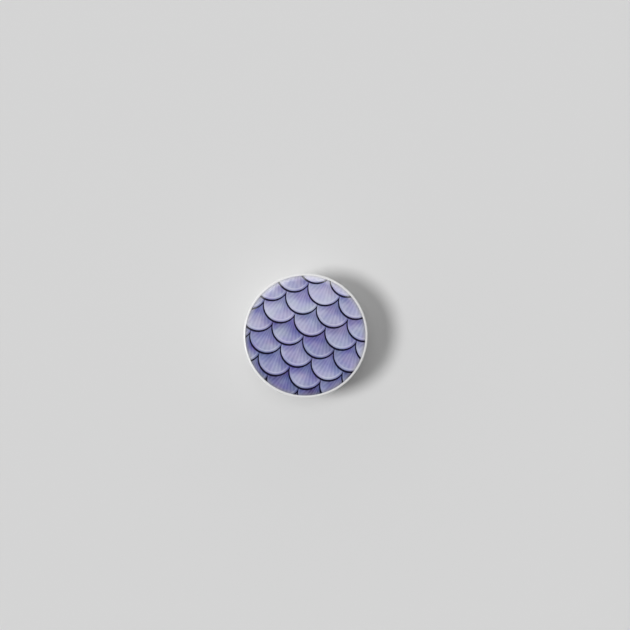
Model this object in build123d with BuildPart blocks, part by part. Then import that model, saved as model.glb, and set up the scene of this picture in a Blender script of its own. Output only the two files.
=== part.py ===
"""Collapsible phone grip, popped out: a printed disc on a two-stage folding accordion over a stick-on base.

The origin is the centre of the adhesive pad's sticky face, and +Z points up from there, towards the printed
disc. Sizes are millimetres. The grip is modelled fully open: closing it drops the middle tier of the
accordion into the lower tier, and the upper tier, with the disc, into the middle one.
"""

import os

from build123d import *

# Adhesive pad, set into the underside of the base
pad_margin = 1.5
pad_thickness = 0.7
pad_inset = 0.3

# Base platform, a little smaller than the disc above it
base_setback = 0.5
base_floor = 0.7
base_rim_wall = 1.9
base_lip = 0.6
base_edge_round = 0.9
base_foot_chamfer = 0.4

# Accordion: three stiff tiers joined by two thin folds, which rise equally to the open height
open_height = 21.5
lower_tier_height = 3.7
middle_tier_height = 3.5
upper_tier_height = 3.4
tier_wall = 1.0
tier_taper = 0.3
tier_edge_round = 0.25
foot_flange_width = 1.0
foot_flange_thickness = 0.7
fold_room = 1.8
fold_wall = 0.45
hinge_wall = 0.3
hinge_rise = 0.6

# Twist-lock collar, held in the upper tier
collar_height = 2.4
collar_wall = 1.0
ledge_thickness = 1.0
anchor_rib_depth = 0.4
anchor_rib_height = 0.8
quarter_turn = 90.0

# Top disc, with the hub and the two ears that lock it to the collar
top_diameter = 40.0
disc_plate = 0.95
skirt_wall = 1.6
skirt_foot_round = 0.5
skirt_root_round = 0.6
rim_width = 0.65
rim_round = 0.55
hub_wall = 1.2
ear_reach = 2.5
ear_thickness = 0.9
ear_arc = 60.0
ear_arc_slack = 3.0
ejector_mark_diameter = 2.2
ejector_mark_depth = 0.1
ejector_mark_count = 6

# Printed face plate, sunk into the disc inside its rim, with a soft shoulder that runs down to the rim
face_thickness = 0.3
face_proud = 0.05
face_shoulder_width = 1.7
face_shoulder_drop = 0.1

# Clearances
seat_clearance = 0.1
turn_clearance = 0.1
ear_tip_clearance = 0.4
lip_clearance = 0.15
nest_clearance = 0.35
closed_gap = 0.2

# Radii, from the disc's edge in to the hub
top_radius = top_diameter / 2
skirt_inner_radius = top_radius - skirt_wall
face_recess_radius = top_radius - rim_width
face_radius = face_recess_radius - seat_clearance
base_radius = top_radius - base_setback
pad_radius = base_radius - pad_margin
flange_groove_radius = base_radius - base_rim_wall
flange_radius = flange_groove_radius - seat_clearance
lower_tier_radius = flange_radius - foot_flange_width
well_radius = lower_tier_radius + lip_clearance
tier_step = tier_taper + tier_wall + fold_room
middle_tier_radius = lower_tier_radius - tier_step
upper_tier_radius = middle_tier_radius - tier_step
edge_round = min(tier_edge_round, (tier_wall - hinge_wall) / 2)
collar_radius = upper_tier_radius - tier_wall
anchor_rib_radius = collar_radius + anchor_rib_depth
ear_room_radius = collar_radius - collar_wall
ear_radius = ear_room_radius - ear_tip_clearance
hub_radius = ear_radius - ear_reach
collar_hole_radius = hub_radius + turn_clearance
ejector_ring_radius = (upper_tier_radius + skirt_inner_radius) / 2

# Levels, from the sticky face up
base_bottom = pad_thickness - pad_inset
floor_top = pad_thickness + base_floor
flange_groove_height = foot_flange_thickness + seat_clearance
base_top = floor_top + flange_groove_height + base_lip
tiers_height = lower_tier_height + middle_tier_height + upper_tier_height
top_height = turn_clearance + disc_plate + face_proud
fold_rise = (open_height - floor_top - tiers_height - top_height) / 2
lower_tier_top = floor_top + lower_tier_height
middle_tier_bottom = lower_tier_top + fold_rise
middle_tier_top = middle_tier_bottom + middle_tier_height
upper_tier_bottom = middle_tier_top + fold_rise
upper_tier_top = upper_tier_bottom + upper_tier_height
plate_underside = upper_tier_top + turn_clearance
disc_top = plate_underside + disc_plate
face_top = disc_top + face_proud
face_bottom = face_top - face_thickness

# Shut, the plate stops just above the tallest of the nested tiers, and the skirt just above the base
nested_lower_top = lower_tier_top
nested_middle_top = floor_top + nest_clearance + middle_tier_height
nested_upper_top = floor_top + upper_tier_height + turn_clearance
shut_plate_underside = max(nested_lower_top, nested_middle_top, nested_upper_top) + nest_clearance
skirt_depth = shut_plate_underside - (base_top + closed_gap)
disc_bottom = plate_underside - skirt_depth
lower_travel = middle_tier_top - nested_middle_top
upper_travel = plate_underside - shut_plate_underside - lower_travel

# Levels and angles inside the twist lock
collar_bottom = upper_tier_top - collar_height
anchor_rib_bottom = collar_bottom + (collar_height - anchor_rib_height) / 2
ledge_bottom = upper_tier_top - ledge_thickness
ear_bottom = ledge_bottom - turn_clearance - ear_thickness
hub_length = plate_underside - ear_bottom
ear_opening_arc = ear_arc + 2 * ear_arc_slack
stop_lug_arc = 180 - quarter_turn - ear_opening_arc
stop_lug_angle = quarter_turn + (ear_opening_arc + stop_lug_arc) / 2


def tier_section(foot_radius, bottom, top):
    """Half section of a stiff tier: a wall that leans in as it rises, rounded beside the folds' hinges."""
    crest_radius = foot_radius - tier_taper
    with BuildSketch(Plane.XZ) as section:
        with BuildLine():
            Polyline(
                (foot_radius - tier_wall, bottom),
                (foot_radius, bottom),
                (crest_radius, top),
                (crest_radius - tier_wall, top),
                close=True,
            )
        make_face()
        fillet(section.vertices().group_by(Axis.Y)[-1], edge_round)
        fillet(section.vertices().group_by(Axis.Y)[0].sort_by(Axis.X)[-1], edge_round)
    return section.sketch


def fold_section(outer_tier_radius, inner_tier_radius, bottom, top):
    """Half section of a fold: a cone from a tier's crest up to the next one's foot, necked at its hinges."""
    foot_radius = outer_tier_radius - tier_taper - tier_wall + edge_round + hinge_wall
    crest_radius = inner_tier_radius - edge_round
    hinge_run = hinge_rise * (foot_radius - crest_radius) / (top - bottom)
    with BuildSketch(Plane.XZ) as section:
        with BuildLine():
            Polyline(
                (foot_radius, bottom),
                (crest_radius, top),
                (crest_radius - hinge_wall, top),
                (crest_radius + hinge_run - fold_wall, top - hinge_rise),
                (foot_radius - hinge_run - fold_wall, bottom + hinge_rise),
                (foot_radius - hinge_wall, bottom),
                close=True,
            )
        make_face()
    return section.sketch


def opposite_sectors(inner_radius, outer_radius, middle_angle, arc):
    """Two opposite pieces of a flat ring, the first centred on middle_angle."""
    with BuildSketch() as sectors:
        with BuildLine():
            outer = CenterArc((0, 0), outer_radius, -arc / 2, arc)
            inner = CenterArc((0, 0), inner_radius, -arc / 2, arc)
            Line(outer @ 0, inner @ 0)
            Line(outer @ 1, inner @ 1)
        piece = make_face(mode=Mode.PRIVATE)
        with PolarLocations(0, 2, start_angle=middle_angle):
            add(piece)
    return sectors.sketch


# Adhesive pad: the tacky disc that the grip is stuck on by
with BuildPart() as adhesive_pad:
    with BuildSketch():
        Circle(pad_radius)
    extrude(amount=pad_thickness)
adhesive_pad.part.label = "adhesive_pad"

# Base platform: a rounded disc with a pocket for the pad below and an undercut well for the accordion above
with BuildPart() as base_platform:
    with BuildSketch(Plane.XY.offset(base_bottom)):
        Circle(base_radius)
    extrude(amount=base_top - base_bottom)
    fillet(base_platform.edges().group_by(Axis.Z)[-1], base_edge_round)
    chamfer(base_platform.edges().group_by(Axis.Z)[0], base_foot_chamfer)
    with BuildSketch(Plane.XY.offset(base_bottom)):
        Circle(pad_radius + seat_clearance)
    extrude(amount=pad_inset, mode=Mode.SUBTRACT)
    with BuildSketch(Plane.XY.offset(floor_top)):
        Circle(well_radius)
    extrude(amount=base_top - floor_top, mode=Mode.SUBTRACT)
    with BuildSketch(Plane.XY.offset(floor_top)):
        Circle(flange_groove_radius)
    extrude(amount=flange_groove_height, mode=Mode.SUBTRACT)
base_platform.part.label = "base_platform"

# Lower tier: the accordion's widest ring, with the foot flange that the base grips
lower_tier_profile = tier_section(lower_tier_radius, floor_top, lower_tier_top)
with BuildPart() as lower_tier:
    add(lower_tier_profile)
    revolve(axis=Axis.Z)
    with BuildSketch(Plane.XY.offset(floor_top)):
        Circle(flange_radius)
        Circle(lower_tier_radius - tier_wall, mode=Mode.SUBTRACT)
    extrude(amount=foot_flange_thickness)
lower_tier.part.label = "lower_tier"

# Lower fold: the thin cone that turns inside out as the lower stage closes
lower_fold_profile = fold_section(lower_tier_radius, middle_tier_radius, lower_tier_top, middle_tier_bottom)
with BuildPart() as lower_fold:
    add(lower_fold_profile)
    revolve(axis=Axis.Z)
lower_fold.part.label = "lower_fold"

# Middle tier: the ring that drops into the lower tier
middle_tier_profile = tier_section(middle_tier_radius, middle_tier_bottom, middle_tier_top)
with BuildPart() as middle_tier:
    add(middle_tier_profile)
    revolve(axis=Axis.Z)
middle_tier.part.label = "middle_tier"

# Upper fold: the thin cone that turns inside out as the upper stage closes
upper_fold_profile = fold_section(middle_tier_radius, upper_tier_radius, middle_tier_top, upper_tier_bottom)
with BuildPart() as upper_fold:
    add(upper_fold_profile)
    revolve(axis=Axis.Z)
upper_fold.part.label = "upper_fold"

# Upper tier: the narrow ring under the disc, bored and grooved for the twist-lock collar
upper_tier_profile = tier_section(upper_tier_radius, upper_tier_bottom, upper_tier_top)
with BuildPart() as upper_tier:
    add(upper_tier_profile)
    revolve(axis=Axis.Z)
    with BuildSketch(Plane.XY.offset(collar_bottom)):
        Circle(collar_radius)
    extrude(amount=collar_height, mode=Mode.SUBTRACT)
    with BuildSketch(Plane.XY.offset(anchor_rib_bottom)):
        Circle(anchor_rib_radius)
    extrude(amount=anchor_rib_height, mode=Mode.SUBTRACT)
upper_tier.part.label = "upper_tier"

# Twist-lock collar: a ring with two ledges over the ears, two openings that let them in, and two stop lugs
ear_openings = opposite_sectors(hub_radius, ear_room_radius, quarter_turn, ear_opening_arc)
stop_lugs = opposite_sectors(collar_hole_radius, ear_room_radius, stop_lug_angle, stop_lug_arc)
with BuildPart() as lock_collar:
    with BuildSketch(Plane.XY.offset(collar_bottom)):
        Circle(collar_radius)
        Circle(ear_room_radius, mode=Mode.SUBTRACT)
    extrude(amount=collar_height)
    with BuildSketch(Plane.XY.offset(ledge_bottom)):
        Circle(collar_radius)
        Circle(collar_hole_radius, mode=Mode.SUBTRACT)
        add(ear_openings, mode=Mode.SUBTRACT)
    extrude(amount=ledge_thickness)
    with BuildSketch(Plane.XY.offset(collar_bottom)):
        add(stop_lugs)
    extrude(amount=collar_height - ledge_thickness)
    with BuildSketch(Plane.XY.offset(anchor_rib_bottom)):
        Circle(anchor_rib_radius)
        Circle(ear_room_radius, mode=Mode.SUBTRACT)
    extrude(amount=anchor_rib_height)
lock_collar.part.label = "lock_collar"

# Top disc: a shallow cap with a rounded rim round the printed face, and the eared hub under its middle
ears = opposite_sectors(hub_radius - hub_wall, ear_radius, 0, ear_arc)
with BuildPart() as top_disc:
    with BuildSketch(Plane.XY.offset(disc_bottom)):
        Circle(top_radius)
    extrude(amount=disc_top - disc_bottom)
    fillet(top_disc.edges().group_by(Axis.Z)[-1], rim_round)
    fillet(top_disc.edges().group_by(Axis.Z)[0], skirt_foot_round)
    with BuildSketch(Plane.XY.offset(disc_bottom)):
        Circle(skirt_inner_radius)
    extrude(amount=skirt_depth, mode=Mode.SUBTRACT)
    underside = top_disc.faces().filter_by(Plane.XY).sort_by(SortBy.AREA)[-2]
    fillet(underside.edges(), skirt_root_round)
    with BuildSketch(Plane.XY.offset(face_bottom)):
        Circle(face_recess_radius)
    extrude(amount=disc_top - face_bottom, mode=Mode.SUBTRACT)
    with BuildSketch(Plane.XY.offset(ear_bottom)):
        Circle(hub_radius)
    extrude(amount=hub_length)
    with BuildSketch(Plane.XY.offset(ear_bottom)):
        add(ears)
    extrude(amount=ear_thickness)
    with BuildSketch(Plane.XY.offset(ear_bottom)):
        Circle(hub_radius - hub_wall)
    extrude(amount=hub_length, mode=Mode.SUBTRACT)
    with BuildSketch(Plane.XY.offset(plate_underside)):
        with PolarLocations(ejector_ring_radius, ejector_mark_count):
            Circle(ejector_mark_diameter / 2)
    extrude(amount=ejector_mark_depth, mode=Mode.SUBTRACT)
top_disc.part.label = "top_disc"

# Printed face: the thin plate that carries the print, bonded into the recess in the disc
with BuildPart() as printed_face:
    with BuildSketch(Plane.XZ):
        with BuildLine():
            flat = Line((0, face_top), (face_radius - face_shoulder_width, face_top))
            shoulder = TangentArc(flat @ 1, (face_radius, face_top - face_shoulder_drop), tangent=flat % 1)
            Polyline(shoulder @ 1, (face_radius, face_bottom), (0, face_bottom), flat @ 0)
        make_face()
    revolve(axis=Axis.Z)
printed_face.part.label = "printed_face"

os.makedirs("parts", exist_ok=True)
export_step(adhesive_pad.part, "parts/adhesive_pad.step")
export_step(base_platform.part, "parts/base_platform.step")
export_step(lower_tier.part, "parts/lower_tier.step")
export_step(lower_fold.part, "parts/lower_fold.step")
export_step(middle_tier.part, "parts/middle_tier.step")
export_step(upper_fold.part, "parts/upper_fold.step")
export_step(upper_tier.part, "parts/upper_tier.step")
export_step(lock_collar.part, "parts/lock_collar.step")
export_step(top_disc.part, "parts/top_disc.step")
export_step(printed_face.part, "parts/printed_face.step")

print(f"open height {face_top:.2f} mm, shut height {face_top - lower_travel - upper_travel:.2f} mm")
print(f"lower travel {lower_travel:.2f} mm, upper travel {upper_travel:.2f} mm")
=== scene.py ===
"""Collapsible phone grip, popped out and standing on its sticky face, seen from straight above.

Lengths are metres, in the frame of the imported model. Only the pattern of the print is worked out in
millimetres. The sections follow the grip as it is put together, from the sticky disc up to the printed
face, and then light it and look at it.
"""

import math

import bmesh
import bpy
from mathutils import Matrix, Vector


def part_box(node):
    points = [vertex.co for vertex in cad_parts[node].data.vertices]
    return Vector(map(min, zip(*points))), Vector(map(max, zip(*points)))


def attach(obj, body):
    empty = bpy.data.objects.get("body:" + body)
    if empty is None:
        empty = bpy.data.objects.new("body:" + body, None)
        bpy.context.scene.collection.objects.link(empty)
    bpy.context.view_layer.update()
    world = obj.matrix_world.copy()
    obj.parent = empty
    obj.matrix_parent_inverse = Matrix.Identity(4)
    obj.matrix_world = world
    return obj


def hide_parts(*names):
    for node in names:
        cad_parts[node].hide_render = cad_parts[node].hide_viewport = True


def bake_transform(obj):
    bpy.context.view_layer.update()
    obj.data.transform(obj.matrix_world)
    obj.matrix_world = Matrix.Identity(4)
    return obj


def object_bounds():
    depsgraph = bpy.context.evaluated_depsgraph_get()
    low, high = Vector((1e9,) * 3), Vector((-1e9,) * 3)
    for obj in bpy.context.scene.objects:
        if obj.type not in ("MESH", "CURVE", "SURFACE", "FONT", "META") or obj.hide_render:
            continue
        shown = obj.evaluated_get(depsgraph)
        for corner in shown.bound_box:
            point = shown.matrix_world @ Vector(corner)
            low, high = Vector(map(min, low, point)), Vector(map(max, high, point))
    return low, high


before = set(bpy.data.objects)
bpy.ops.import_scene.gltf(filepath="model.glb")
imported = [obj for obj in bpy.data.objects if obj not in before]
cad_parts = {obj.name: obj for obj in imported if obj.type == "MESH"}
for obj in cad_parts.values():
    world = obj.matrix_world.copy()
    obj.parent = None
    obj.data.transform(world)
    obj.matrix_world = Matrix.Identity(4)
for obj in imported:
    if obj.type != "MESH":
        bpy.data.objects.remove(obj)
cad_low, cad_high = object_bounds()
bpy.ops.object.select_all(action="DESELECT")

# Sticky disc: a round of tacky dark gel, die-cut from a sheet and pressed into the pocket under the base.
# The cut edge is rounded a little by the gel's own stretch, and the lower face clings to what it is put on.
mm = 0.001
gel_low, gel_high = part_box("adhesive_pad")
gel_radius = gel_high.x
gel_thickness = gel_high.z - gel_low.z
gel_middle = (gel_low.z + gel_high.z) / 2
gel_sides = 192
gel_edge_round = 0.2 * mm
gel_face_margin = 0.6 * mm
flat_enough = 0.9
smooth_angle = math.radians(30)


def pick(piece, elements, wanted):
    """In edit mode, selects only those faces or edges of the piece that the test accepts."""
    bpy.ops.mesh.select_mode(type="FACE" if elements == "faces" else "EDGE")
    bpy.ops.mesh.select_all(action="DESELECT")
    shape = bmesh.from_edit_mesh(piece.data)
    for element in getattr(shape, elements):
        if wanted(element):
            element.select_set(True)
    bmesh.update_edit_mesh(piece.data)


def round_ring(piece, radius, height, size):
    """Rounds the circular edge of the piece that lies at that radius and height about the grip's axis."""
    reach = 0.002 * mm
    steps = 4

    def on_ring(corner):
        """Whether a corner of the mesh lies on that circle."""
        return abs(corner.co.xy.length - radius) < reach and abs(corner.co.z - height) < reach

    pick(piece, "edges", lambda edge: all(on_ring(corner) for corner in edge.verts))
    bpy.ops.mesh.bevel(offset=size, segments=steps, affect="EDGES", clamp_overlap=True)


bpy.ops.mesh.primitive_cylinder_add(
    vertices=gel_sides, radius=gel_radius, depth=gel_thickness, location=(0, 0, gel_middle)
)
sticky_disc = bpy.context.active_object
sticky_disc.name = "sticky_disc"
bpy.ops.object.transform_apply(location=True, rotation=False, scale=False)
bpy.ops.object.mode_set(mode="EDIT")
pick(sticky_disc, "faces", lambda face: abs(face.normal.z) > flat_enough)
bpy.ops.mesh.inset(thickness=gel_face_margin, use_individual=True)
round_ring(sticky_disc, gel_radius, gel_low.z, gel_edge_round)
round_ring(sticky_disc, gel_radius, gel_high.z, gel_edge_round)
bpy.ops.object.mode_set(mode="OBJECT")
bpy.ops.object.shade_smooth_by_angle(angle=smooth_angle)


def place(tree, kind, inputs, **settings):
    """Adds a node, sets it up, and feeds its inputs with numbers, colours or the outputs of other nodes."""
    node = tree.nodes.new(kind)
    for name, value in settings.items():
        setattr(node, name, value)
    for name, value in inputs.items():
        if isinstance(value, bpy.types.NodeSocket):
            tree.links.new(value, node.inputs[name])
        else:
            node.inputs[name].default_value = value
    return node


def ramp(tree, value, stops):
    """The colour that a value from 0 to 1 stands for, between stops of (position, colour)."""
    node = place(tree, "ShaderNodeValToRGB", {"Fac": value})
    elements = node.color_ramp.elements
    while len(elements) < len(stops):
        elements.new(1.0)
    for element, (position, colour) in zip(elements, stops):
        element.position = position
        element.color = (*colour, 1.0)
    return node.outputs["Color"]


# Every moulded surface has a fine grain from its tool and soft clouds left by the flow of the material.
# The noise that both are made of mostly keeps between the low and the high value here.
noise_low = 0.3
noise_middle = 0.5
noise_high = 0.7
moulded_grain = bpy.data.node_groups.new("moulded_grain", "ShaderNodeTree")
for size in ("Grain Scale", "Cloud Scale"):
    moulded_grain.interface.new_socket(size, in_out="INPUT", socket_type="NodeSocketFloat")
for mask in ("Grain", "Cloud"):
    moulded_grain.interface.new_socket(mask, in_out="OUTPUT", socket_type="NodeSocketFloat")
group_sizes = place(moulded_grain, "NodeGroupInput", {}).outputs
group_place = place(moulded_grain, "ShaderNodeTexCoord", {}).outputs["Object"]
grain_noise = place(
    moulded_grain,
    "ShaderNodeTexNoise",
    {"Vector": group_place, "Scale": group_sizes["Grain Scale"], "Detail": 2.0, "Roughness": 0.6},
)
cloud_noise = place(
    moulded_grain,
    "ShaderNodeTexNoise",
    {"Vector": group_place, "Scale": group_sizes["Cloud Scale"], "Detail": 4.0, "Roughness": 0.55},
)
place(
    moulded_grain,
    "NodeGroupOutput",
    {"Grain": grain_noise.outputs["Fac"], "Cloud": cloud_noise.outputs["Fac"]},
)


def moulded_finish(name, colours, roughness, grain_size, grain_depth, cloud_size):
    """A moulded surface: two close colours in soft clouds, a roughness to match, and a raised grain."""
    finish = bpy.data.materials.new(name)
    finish.use_nodes = True
    tree = finish.node_tree
    surface = tree.nodes["Principled BSDF"]
    masks = place(
        tree,
        "ShaderNodeGroup",
        {"Grain Scale": 1 / grain_size, "Cloud Scale": 1 / cloud_size},
        node_tree=moulded_grain,
    ).outputs
    dull, bright = colours
    colour = ramp(tree, masks["Cloud"], [(noise_low, dull), (noise_high, bright)])
    tree.links.new(colour, surface.inputs["Base Color"])
    smooth, rough = roughness
    gloss = place(tree, "ShaderNodeMapRange", {"Value": masks["Cloud"], "To Min": smooth, "To Max": rough})
    tree.links.new(gloss.outputs["Result"], surface.inputs["Roughness"])
    relief = place(tree, "ShaderNodeBump", {"Height": masks["Grain"], "Distance": grain_depth})
    tree.links.new(relief.outputs["Normal"], surface.inputs["Normal"])
    return finish


tacky_gel = moulded_finish(
    "tacky_gel",
    colours=((0.045, 0.046, 0.050), (0.070, 0.071, 0.076)),
    roughness=(0.22, 0.42),
    grain_size=0.35 * mm,
    grain_depth=0.012 * mm,
    cloud_size=5.0 * mm,
)
sticky_disc.data.materials.append(tacky_gel)
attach(sticky_disc, "base")
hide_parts("adhesive_pad")

# Base platform: a rigid white disc, injection-moulded with a fine spark-eroded matt on its outside.
# The undercut well in its top grips the foot of the accordion, and the gel sits in the pocket below.
matt_base_plastic = moulded_finish(
    "matt_base_plastic",
    colours=((0.820, 0.820, 0.816), (0.850, 0.850, 0.848)),
    roughness=(0.40, 0.52),
    grain_size=0.11 * mm,
    grain_depth=0.006 * mm,
    cloud_size=7.0 * mm,
)


def dress(node_name, finish):
    """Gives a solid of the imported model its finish, in place of the plain one that it comes with."""
    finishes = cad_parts[node_name].data.materials
    finishes.clear()
    finishes.append(finish)


dress("base_platform", matt_base_plastic)

# Accordion: one soft moulding of milky white rubber, three stiff tiers joined by two thin folds that turn
# inside out. It is drawn here as two lengths, which meet under the foot of the middle tier: the lower tier
# with its foot flange and the lower fold, and then the middle tier, the upper fold and the upper tier.
wall_sides = 192
tier_wall = 1.0 * mm
tier_taper = 0.3 * mm
tier_edge_round = 0.25 * mm
flange_width = 1.0 * mm
flange_thickness = 0.7 * mm
flange_edge_round = 0.12 * mm
fold_room = 1.8 * mm
fold_wall = 0.45 * mm
fold_rings = 14
hinge_wall = 0.3 * mm
hinge_rise = 0.6 * mm
hinge_setback = 0.25 * mm
hinge_edge_round = 0.18 * mm
hinge_root_round = 0.05 * mm
hinge_tuck = 0.1 * mm
collar_rib_depth = 0.4 * mm
collar_rib_height = 0.8 * mm

lower_tier_low, lower_tier_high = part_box("lower_tier")
lower_fold_low, lower_fold_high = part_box("lower_fold")
middle_tier_low, middle_tier_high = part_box("middle_tier")
upper_fold_low, upper_fold_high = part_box("upper_fold")
upper_tier_low, upper_tier_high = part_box("upper_tier")
collar_low, collar_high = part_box("lock_collar")
tier_step = tier_taper + tier_wall + fold_room
flange_radius = lower_tier_high.x
lower_foot_radius = flange_radius - flange_width
middle_foot_radius = lower_foot_radius - tier_step
upper_foot_radius = middle_foot_radius - tier_step
bore_radius = upper_foot_radius - tier_wall


def wall_of_rings(name, rings):
    """A closed wall round the axis: a circle drawn out from ring to ring and joined again to the first."""
    radius, height = rings[0]
    bpy.ops.mesh.primitive_circle_add(vertices=wall_sides, radius=radius, location=(0, 0, height))
    wall = bpy.context.active_object
    wall.name = name
    bpy.ops.object.transform_apply(location=True, rotation=False, scale=False)
    bpy.ops.object.mode_set(mode="EDIT")
    for next_radius, next_height in rings[1:]:
        rise = (0, 0, next_height - height)
        bpy.ops.mesh.extrude_edges_move(TRANSFORM_OT_translate={"value": rise})
        spread = next_radius / radius
        bpy.ops.transform.resize(value=(spread, spread, 1), center_override=(0, 0, next_height))
        radius, height = next_radius, next_height
    pick(wall, "edges", lambda edge: edge.is_boundary)
    bpy.ops.mesh.bridge_edge_loops()
    bpy.ops.mesh.select_all(action="SELECT")
    bpy.ops.mesh.normals_make_consistent(inside=False)
    return wall


def fold_faces(foot_radius, crest_radius, bottom, top):
    """The outer rings of a fold from foot to crest, and its inner rings, which neck in at both hinges."""
    outer, inner = [], []
    for ring in range(fold_rings + 1):
        along = ring / fold_rings
        height = bottom + along * (top - bottom)
        radius = foot_radius + along * (crest_radius - foot_radius)
        from_hinge = min(height - bottom, top - height) / hinge_rise
        thickness = hinge_wall + min(from_hinge, 1) * (fold_wall - hinge_wall)
        outer.append((radius, height))
        inner.append((radius - thickness, height))
    return outer, inner


def leaning_radius(foot_radius, height, foot, crest):
    """The radius of a tier's leaning wall at a height between its foot and its crest."""
    return foot_radius - tier_taper * (height - foot) / (crest - foot)


# Lower length: flange, lower tier and lower fold, whose end is tucked into the middle tier's foot
lower_crest_radius = lower_foot_radius - tier_taper
flange_top = lower_tier_low.z + flange_thickness
flange_root_radius = leaning_radius(lower_foot_radius, flange_top, lower_tier_low.z, lower_tier_high.z)
lower_fold_crest_radius = middle_foot_radius - hinge_setback
lower_outer, lower_inner = fold_faces(
    lower_fold_high.x, lower_fold_crest_radius, lower_fold_low.z, lower_fold_high.z
)
tuck_height = lower_fold_high.z + hinge_tuck
lower_bellows = wall_of_rings(
    "accordion_lower",
    [
        (lower_foot_radius - tier_wall, lower_tier_low.z),
        (flange_radius, lower_tier_low.z),
        (flange_radius, flange_top),
        (flange_root_radius, flange_top),
        (lower_crest_radius, lower_tier_high.z),
        *lower_outer,
        (lower_outer[-1][0], tuck_height),
        (lower_inner[-1][0], tuck_height),
        *reversed(lower_inner),
        (lower_crest_radius - tier_wall, lower_tier_high.z),
    ],
)
round_ring(lower_bellows, flange_radius, flange_top, flange_edge_round)
round_ring(lower_bellows, flange_root_radius, flange_top, flange_edge_round)
round_ring(lower_bellows, lower_crest_radius, lower_tier_high.z, tier_edge_round)
round_ring(lower_bellows, lower_crest_radius - tier_wall, lower_tier_high.z, hinge_edge_round)
round_ring(lower_bellows, *lower_outer[0], hinge_root_round)
round_ring(lower_bellows, *lower_inner[0], hinge_root_round)
bpy.ops.object.mode_set(mode="OBJECT")
bpy.ops.object.shade_smooth_by_angle(angle=smooth_angle)

# Upper length: middle tier, upper fold, and the upper tier, bored and grooved for the collar
middle_crest_radius = middle_foot_radius - tier_taper
upper_crest_radius = upper_foot_radius - tier_taper
upper_fold_crest_radius = upper_foot_radius - hinge_setback
upper_outer, upper_inner = fold_faces(
    upper_fold_high.x, upper_fold_crest_radius, upper_fold_low.z, upper_fold_high.z
)
groove_bottom = collar_low.z + (collar_high.z - collar_low.z - collar_rib_height) / 2
groove_top = groove_bottom + collar_rib_height
groove_radius = bore_radius + collar_rib_depth
seat_radius = leaning_radius(bore_radius, collar_low.z, upper_tier_low.z, upper_tier_high.z)
upper_bellows = wall_of_rings(
    "accordion_upper",
    [
        (middle_foot_radius - tier_wall, middle_tier_low.z),
        (middle_foot_radius, middle_tier_low.z),
        (middle_crest_radius, middle_tier_high.z),
        *upper_outer,
        (upper_foot_radius, upper_tier_low.z),
        (upper_crest_radius, upper_tier_high.z),
        (bore_radius, upper_tier_high.z),
        (bore_radius, groove_top),
        (groove_radius, groove_top),
        (groove_radius, groove_bottom),
        (bore_radius, groove_bottom),
        (bore_radius, collar_low.z),
        (seat_radius, collar_low.z),
        (bore_radius, upper_tier_low.z),
        *reversed(upper_inner),
        (middle_crest_radius - tier_wall, middle_tier_high.z),
    ],
)
round_ring(upper_bellows, middle_foot_radius, middle_tier_low.z, tier_edge_round)
round_ring(upper_bellows, middle_crest_radius, middle_tier_high.z, tier_edge_round)
round_ring(upper_bellows, middle_crest_radius - tier_wall, middle_tier_high.z, hinge_edge_round)
round_ring(upper_bellows, upper_foot_radius, upper_tier_low.z, hinge_edge_round)
round_ring(upper_bellows, upper_crest_radius, upper_tier_high.z, tier_edge_round)
round_ring(upper_bellows, *upper_outer[0], hinge_root_round)
round_ring(upper_bellows, *upper_inner[0], hinge_root_round)
round_ring(upper_bellows, *upper_outer[-1], hinge_root_round)
round_ring(upper_bellows, *upper_inner[-1], hinge_root_round)
bpy.ops.object.mode_set(mode="OBJECT")
bpy.ops.object.shade_smooth_by_angle(angle=smooth_angle)

# The rubber is silky and lets light a little way in. It fills its mould in rings, which leave faint flow
# lines round every tier and fold.
rubber_sheen = 0.12
rubber_milkiness = 0.35
rubber_light_depth = 0.6 * mm
flow_line_size = 0.3 * mm
flow_line_depth = 0.004 * mm
silky_rubber = moulded_finish(
    "silky_rubber",
    colours=((0.810, 0.808, 0.800), (0.855, 0.854, 0.848)),
    roughness=(0.46, 0.60),
    grain_size=0.16 * mm,
    grain_depth=0.004 * mm,
    cloud_size=9.0 * mm,
)
rubber_tree = silky_rubber.node_tree
rubber_surface = rubber_tree.nodes["Principled BSDF"]
rubber_surface.inputs["Sheen Weight"].default_value = rubber_sheen
rubber_surface.inputs["Subsurface Weight"].default_value = rubber_milkiness
rubber_surface.inputs["Subsurface Radius"].default_value = (1.0, 1.0, 1.0)
rubber_surface.inputs["Subsurface Scale"].default_value = rubber_light_depth
rubber_place = place(rubber_tree, "ShaderNodeTexCoord", {}).outputs["Object"]
rubber_flat = place(
    rubber_tree, "ShaderNodeVectorMath", {0: rubber_place, 1: (1.0, 1.0, 0.0)}, operation="MULTIPLY"
).outputs["Vector"]
rubber_radius = place(rubber_tree, "ShaderNodeVectorMath", {0: rubber_flat}, operation="LENGTH")
rubber_height = place(rubber_tree, "ShaderNodeSeparateXYZ", {"Vector": rubber_place})
rubber_section = place(
    rubber_tree,
    "ShaderNodeCombineXYZ",
    {"X": rubber_radius.outputs["Value"], "Y": rubber_height.outputs["Z"]},
)
flow_lines = place(
    rubber_tree,
    "ShaderNodeTexNoise",
    {"Vector": rubber_section.outputs["Vector"], "Scale": 1 / flow_line_size, "Detail": 3.0},
    noise_dimensions="2D",
)
rubber_grain = rubber_surface.inputs["Normal"].links[0].from_socket
flow_relief = place(
    rubber_tree,
    "ShaderNodeBump",
    {"Height": flow_lines.outputs["Fac"], "Distance": flow_line_depth, "Normal": rubber_grain},
)
rubber_tree.links.new(flow_relief.outputs["Normal"], rubber_surface.inputs["Normal"])

for bellows in (lower_bellows, upper_bellows):
    bellows.data.materials.append(silky_rubber)
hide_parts("lower_tier", "lower_fold")
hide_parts("middle_tier", "upper_fold", "upper_tier")
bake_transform(lower_bellows)
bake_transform(upper_bellows)

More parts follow.
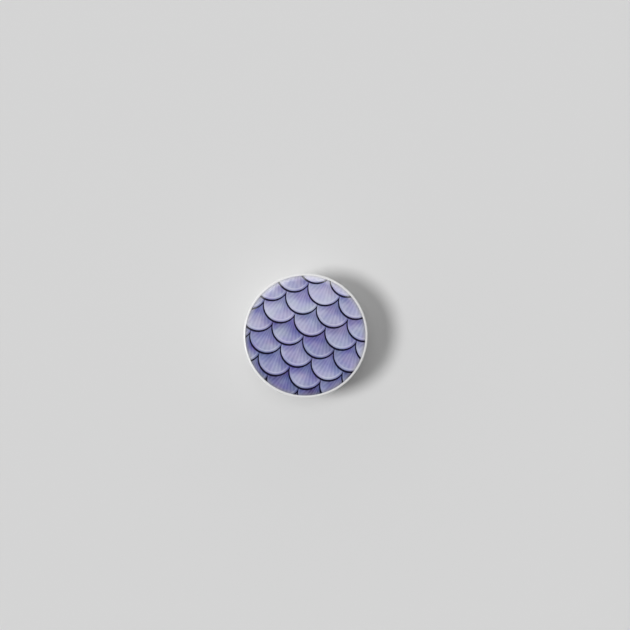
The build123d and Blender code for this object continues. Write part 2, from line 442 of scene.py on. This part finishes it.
# Twist-lock collar: the rigid ring that the accordion's top is moulded round, held there by its rib.
# It is a white plastic like the base's, left smooth where the ears of the disc slide under its ledges.
smooth_collar_plastic = moulded_finish(
    "smooth_collar_plastic",
    colours=((0.760, 0.761, 0.763), (0.790, 0.791, 0.793)),
    roughness=(0.28, 0.38),
    grain_size=0.25 * mm,
    grain_depth=0.003 * mm,
    cloud_size=5.0 * mm,
)
dress("lock_collar", smooth_collar_plastic)

# Top disc: a shallow cap of glossy white plastic, moulded in one with its hub and its two locking ears.
# Its polished tool leaves a faint orange peel, and its rounded rim stands just proud of the print's edge.
glossy_disc_plastic = moulded_finish(
    "glossy_disc_plastic",
    colours=((0.785, 0.785, 0.790), (0.815, 0.815, 0.820)),
    roughness=(0.16, 0.24),
    grain_size=0.9 * mm,
    grain_depth=0.004 * mm,
    cloud_size=8.0 * mm,
)
dress("top_disc", glossy_disc_plastic)

# Printed face: a thin plastic plate, printed before it is cut out, then bonded into the disc's recess.
# The print is a traditional pattern of overlapping fluted scales, in lavender and indigo under clear
# varnish. The sizes of the pattern are millimetres.
pattern_turn = math.radians(24)
pattern_shift = (0.4, 5.0, 0.0)
scale_radius = 5.4
scale_pitch = 2 * scale_radius
row_rise = scale_radius
bead_width = 0.8
flutes_in_turn = 44
gap_drop = 0.42
gap_start = 0.08
gap_end = 0.32
shade_end = 3.0
face_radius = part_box("printed_face")[1].x / mm
edge_width = 1.35

# Tones of the ink, from 0 for the deepest indigo, and how much each feature of the pattern changes them
plate_tone = 0.75
# Painted light from above: how much the print pales for each millimetre upwards
painted_top_light_per_mm = 0.009
light_across = -0.55
light_up = 0.83
dome_contrast = 0.035
bead_contrast = 0.26
flute_contrast = 0.06
scale_contrast = 0.22
cloud_contrast = 0.60
grain_contrast = 0.14
gap_depth = 0.86
shade_depth = 0.22
indigo_to_lavender = [
    (0.00, (0.002, 0.001, 0.018)),
    (0.10, (0.018, 0.014, 0.066)),
    (0.22, (0.072, 0.068, 0.178)),
    (0.45, (0.178, 0.181, 0.356)),
    (0.65, (0.270, 0.270, 0.462)),
    (0.85, (0.397, 0.402, 0.584)),
    (1.00, (0.500, 0.505, 0.670)),
    (1.20, (0.590, 0.595, 0.745)),
]
palest_tone = indigo_to_lavender[-1][0]

# The ink's grain, clouds and tints, the painted shade that greys and darkens it at the cut edge, and the
# varnish over it
ink_grain_size = 0.22 * mm
ink_cloud_size = 5.5 * mm
tints_per_mm = 0.22
blue_to_pink = (0.478, 0.522)
pale_to_deep = (0.95, 1.35)
# Painted shade at the cut edge: the share of colour and of brightness that the ink keeps there
recess_shade_saturation = 0.58
recess_shade_tone = 0.75
varnish_roughness = (0.11, 0.15)
varnish_grain_depth = 0.0004 * mm

varnished_print = bpy.data.materials.new("varnished_print")
varnished_print.use_nodes = True
print_tree = varnished_print.node_tree
print_surface = print_tree.nodes["Principled BSDF"]


def step(operation, *values):
    """One step of the pattern's arithmetic, on numbers or on the results of earlier steps."""
    node = place(print_tree, "ShaderNodeMath", dict(enumerate(values)), operation=operation)
    return node.outputs["Value"]


def fade(value, start, end):
    """1 up to start, and smoothly down to 0 at end."""
    return place(
        print_tree,
        "ShaderNodeMapRange",
        {"Value": value, "From Min": start, "From Max": end, "To Min": 1.0, "To Max": 0.0},
        interpolation_type="SMOOTHSTEP",
    ).outputs["Result"]


def distance(across, up):
    """How far away a point is that lies so far across and so far up."""
    return step("SQRT", step("ADD", step("MULTIPLY", across, across), step("MULTIPLY", up, up)))


print_place = place(print_tree, "ShaderNodeTexCoord", {}).outputs["Object"]
pattern_place = place(
    print_tree,
    "ShaderNodeMapping",
    {
        "Vector": print_place,
        "Location": pattern_shift,
        "Rotation": (0, 0, pattern_turn),
        "Scale": (1 / mm, 1 / mm, 1 / mm),
    },
).outputs["Vector"]
pattern_axes = place(print_tree, "ShaderNodeSeparateXYZ", {"Vector": pattern_place}).outputs


def nearest_scale(row):
    """Where a point lies from the nearest scale's centre in a row: across, up and away, and which scale."""
    half_pitch = step("MULTIPLY", step("FLOORED_MODULO", row, 2.0), scale_pitch / 2)
    along_row = step("SUBTRACT", pattern_axes["X"], half_pitch)
    number = step("ROUND", step("DIVIDE", along_row, scale_pitch))
    across = step("SUBTRACT", along_row, step("MULTIPLY", number, scale_pitch))
    up = step("SUBTRACT", pattern_axes["Y"], step("MULTIPLY", row, row_rise))
    return across, up, distance(across, up), number


# Each row of scales hangs over the row below it: of the two nearest rows, the upper shows where it reaches
front_row = step("CEIL", step("DIVIDE", pattern_axes["Y"], row_rise))
back_row = step("SUBTRACT", front_row, 1.0)
front_scale = nearest_scale(front_row)
back_scale = nearest_scale(back_row)
front_away = front_scale[2]
front_shows = step("LESS_THAN", front_away, scale_radius)
across, up, away, number = (
    step("MULTIPLY_ADD", front_shows, step("SUBTRACT", in_front, behind), behind)
    for in_front, behind in zip(front_scale, back_scale)
)

# A bead along the edge of each scale, lit from the upper left: its slope times how far it faces the light
facing = step(
    "DIVIDE", step("ADD", step("MULTIPLY", across, light_across), step("MULTIPLY", up, light_up)), away
)
in_bead = step("DIVIDE", step("SUBTRACT", away, scale_radius - bead_width), bead_width)
on_bead = step("GREATER_THAN", in_bead, 0.0)
bead_slope = step("MULTIPLY", step("COSINE", step("MULTIPLY", in_bead, math.pi)), on_bead)
bead = step("MULTIPLY", step("MULTIPLY", bead_slope, facing), -bead_contrast)

# Flutes that fan out from the root of each scale, up under the scales that hang over it
fan_angle = step("ARCTAN2", across, step("SUBTRACT", scale_radius, up))
flutes = step("MULTIPLY", step("SINE", step("MULTIPLY", fan_angle, flutes_in_turn)), flute_contrast)
flutes = step("MULTIPLY", flutes, step("LESS_THAN", in_bead, 0.0))


# The dark gap that a scale throws on the ones behind it, widest under its lowest point, and a soft shade
def shadow_under(scale):
    """How much a scale darkens the print just outside its edge."""
    across, up = scale[:2]
    beyond = step("SUBTRACT", distance(across, step("ADD", up, gap_drop)), scale_radius)
    gap = step("MULTIPLY", fade(beyond, gap_start, gap_end), gap_depth)
    return step("MULTIPLY_ADD", fade(beyond, gap_start, shade_end), shade_depth, gap)


on_back_scale = step("MULTIPLY", shadow_under(front_scale), step("SUBTRACT", 1.0, front_shows))
overhanging_scale = nearest_scale(step("ADD", front_row, 1.0))
shadow = step("MAXIMUM", on_back_scale, shadow_under(overhanging_scale))

# Scales differ a little in tone, and the ink lies in clouds and in a fine grain
scale_name = place(
    print_tree, "ShaderNodeCombineXYZ", {"X": number, "Y": step("ADD", back_row, front_shows)}
).outputs["Vector"]
scale_chance = place(print_tree, "ShaderNodeTexWhiteNoise", {"Vector": scale_name}, noise_dimensions="2D")
ink = place(
    print_tree,
    "ShaderNodeGroup",
    {"Grain Scale": 1 / ink_grain_size, "Cloud Scale": 1 / ink_cloud_size},
    node_tree=moulded_grain,
).outputs
tone = step("MULTIPLY_ADD", up, -dome_contrast, step("ADD", plate_tone, step("ADD", bead, flutes)))
for spread, contrast in (
    (scale_chance.outputs["Value"], scale_contrast),
    (ink["Cloud"], cloud_contrast),
    (ink["Grain"], grain_contrast),
):
    tone = step("MULTIPLY_ADD", step("SUBTRACT", spread, noise_middle), contrast, tone)

# Painted light: the whole print pales from its lower edge to its upper one, as if lit from above, under the
# dark of the gaps
print_axes = place(print_tree, "ShaderNodeSeparateXYZ", {"Vector": print_place}).outputs
print_up = step("DIVIDE", print_axes["Y"], mm)
tone = step("MULTIPLY_ADD", print_up, painted_top_light_per_mm, tone)
tone = step("SUBTRACT", tone, shadow)
lavender = ramp(
    print_tree,
    step("DIVIDE", tone, palest_tone),
    [(stop_tone / palest_tone, colour) for stop_tone, colour in indigo_to_lavender],
)

# The lavender leans to blue here and to pink there, and is paler in one place and deeper in another
tint_noise = place(
    print_tree, "ShaderNodeTexNoise", {"Vector": pattern_place, "Scale": tints_per_mm, "Detail": 2.0}
)
tint_parts = place(print_tree, "ShaderNodeSeparateColor", {"Color": tint_noise.outputs["Color"]}).outputs


def swing(part, low, high):
    """One part of the tint's noise, stretched to run from low to high."""
    return place(
        print_tree,
        "ShaderNodeMapRange",
        {"Value": part, "From Min": noise_low, "From Max": noise_high, "To Min": low, "To Max": high},
    ).outputs["Result"]


# Painted shade: by the cut edge, where the plate is drawn down into the recess, the ink is greyer and a
# little darker
from_axis = place(
    print_tree, "ShaderNodeVectorMath", {0: print_place, 1: (1 / mm, 1 / mm, 0.0)}, operation="MULTIPLY"
)
print_radius = place(
    print_tree, "ShaderNodeVectorMath", {0: from_axis.outputs["Vector"]}, operation="LENGTH"
)
inside_edge = fade(print_radius.outputs["Value"], face_radius - edge_width, face_radius)
shaded_saturation = step("MULTIPLY_ADD", inside_edge, 1 - recess_shade_saturation, recess_shade_saturation)
tinted = place(
    print_tree,
    "ShaderNodeHueSaturation",
    {
        "Hue": swing(tint_parts["Red"], *blue_to_pink),
        "Saturation": step("MULTIPLY", swing(tint_parts["Green"], *pale_to_deep), shaded_saturation),
        "Value": step("MULTIPLY_ADD", inside_edge, 1 - recess_shade_tone, recess_shade_tone),
        "Color": lavender,
    },
)
print_tree.links.new(tinted.outputs["Color"], print_surface.inputs["Base Color"])

# The varnish is nearly smooth, and follows the ink's clouds and grain
varnish_smooth, varnish_rough = varnish_roughness
varnish = place(
    print_tree,
    "ShaderNodeMapRange",
    {"Value": ink["Cloud"], "To Min": varnish_smooth, "To Max": varnish_rough},
)
print_tree.links.new(varnish.outputs["Result"], print_surface.inputs["Roughness"])
varnish_relief = place(
    print_tree, "ShaderNodeBump", {"Height": ink["Grain"], "Distance": varnish_grain_depth}
)
print_tree.links.new(varnish_relief.outputs["Normal"], print_surface.inputs["Normal"])
dress("printed_face", varnished_print)

# Floor: the plain pale surface that the grip stands on, matt, and wide enough to run out of every view.
# The surround behind it carries its tone on, so that no edge shows between the two.
floor_side = 4.0
floor_tone = 0.70
floor_roughness = 0.9
bpy.ops.mesh.primitive_plane_add(size=floor_side, location=(0, 0, cad_low.z))
floor = bpy.context.active_object
floor.name = "pale_floor"
matt_pale = bpy.data.materials.new("matt_pale")
matt_pale.use_nodes = True
floor_surface = matt_pale.node_tree.nodes["Principled BSDF"]
floor_surface.inputs["Base Color"].default_value = (floor_tone, floor_tone, floor_tone, 1.0)
floor_surface.inputs["Roughness"].default_value = floor_roughness
floor_surface.inputs["Specular IOR Level"].default_value = 0.0
floor.data.materials.append(matt_pale)

# Light: a pale surround, brightest low down at the back and dim straight overhead, so that the grip's sides
# are lit and its print keeps its depth. A soft lamp up to the left throws the shadow to the right, and three
# weak ones, a little off the vertical, put a pale gleam on the upper side of the print.
surround_share = 0.28
horizon_gain = 3.0
surround_lean = (-0.20, 0.55, 0.0)
ceiling_tone = 0.08
ceiling_edge = math.radians(30)
ceiling_core = math.radians(16)
lamp_distance = 1.5
gleam_bearings = (60, 100, 140)
surround = bpy.data.worlds.new("pale_surround")
surround.use_nodes = True
bpy.context.scene.world = surround
sky = surround.node_tree
seen_ray = place(sky, "ShaderNodeLightPath", {}).outputs
seen = seen_ray["Is Camera Ray"]
for ray in ("Is Glossy Ray", "Is Transmission Ray"):
    either = place(sky, "ShaderNodeMath", {0: seen, 1: seen_ray[ray]}, operation="ADD", use_clamp=True)
    seen = either.outputs["Value"]
sky_direction = place(sky, "ShaderNodeTexCoord", {}).outputs["Generated"]
sky_height = place(sky, "ShaderNodeSeparateXYZ", {"Vector": sky_direction}).outputs["Z"]
low_light = place(
    sky,
    "ShaderNodeMapRange",
    {"Value": sky_height, "To Min": horizon_gain * surround_share, "To Max": 0.0},
).outputs["Result"]
lean = place(
    sky, "ShaderNodeVectorMath", {0: sky_direction, 1: surround_lean}, operation="DOT_PRODUCT"
).outputs["Value"]
cast_light = place(sky, "ShaderNodeMath", {0: lean, 1: low_light, 2: low_light}, operation="MULTIPLY_ADD")
seen_light = place(
    sky,
    "ShaderNodeMapRange",
    {
        "Value": sky_height,
        "From Min": math.cos(ceiling_edge),
        "From Max": math.cos(ceiling_core),
        "To Min": floor_tone,
        "To Max": ceiling_tone,
    },
    interpolation_type="SMOOTHSTEP",
)
brightness = place(
    sky,
    "ShaderNodeMapRange",
    {"Value": seen, "To Min": cast_light.outputs["Value"], "To Max": seen_light.outputs["Result"]},
)
sky.nodes["Background"].inputs["Color"].default_value = (1.0, 1.0, 1.0, 1.0)
sky.links.new(brightness.outputs["Result"], sky.nodes["Background"].inputs["Strength"])


def soft_lamp(name, share, spread, tilt, bearing):
    """A lamp far away: its share of the floor's light, then its width and where it hangs, in degrees."""
    tilt, bearing = math.radians(tilt), math.radians(bearing)
    direction = Vector(
        (math.sin(tilt) * math.cos(bearing), math.sin(tilt) * math.sin(bearing), math.cos(tilt))
    )
    bpy.ops.object.light_add(type="SUN", location=direction * lamp_distance)
    lamp = bpy.context.active_object
    lamp.name = name
    lamp.rotation_euler = direction.to_track_quat("Z", "Y").to_euler()
    lamp.data.angle = math.radians(spread)
    lamp.data.energy = share * math.pi / math.cos(tilt)


soft_lamp("left_lamp", share=0.55, spread=15, tilt=25, bearing=185)
for bearing in gleam_bearings:
    soft_lamp(f"top_lamp_{bearing}", share=0.038, spread=12, tilt=11, bearing=bearing)

# Camera: it looks straight down from well above, with the disc as large in its frame as in the photograph,
# and in the same place.
photo_side = 630
photo_disc_diameter = 124.6
photo_disc_centre = (305.4, 335.6)
camera_height = 0.8
pixel = (cad_high.x - cad_low.x) / photo_disc_diameter
bpy.ops.object.camera_add(
    location=(
        (photo_side / 2 - photo_disc_centre[0]) * pixel,
        (photo_disc_centre[1] - photo_side / 2) * pixel,
        cad_high.z + camera_height,
    ),
    rotation=(0, 0, 0),
)
camera = bpy.context.active_object
camera.data.lens = camera.data.sensor_width * camera_height / (photo_side * pixel)
bpy.context.scene.camera = camera
bpy.context.scene.view_settings.view_transform = "Standard"
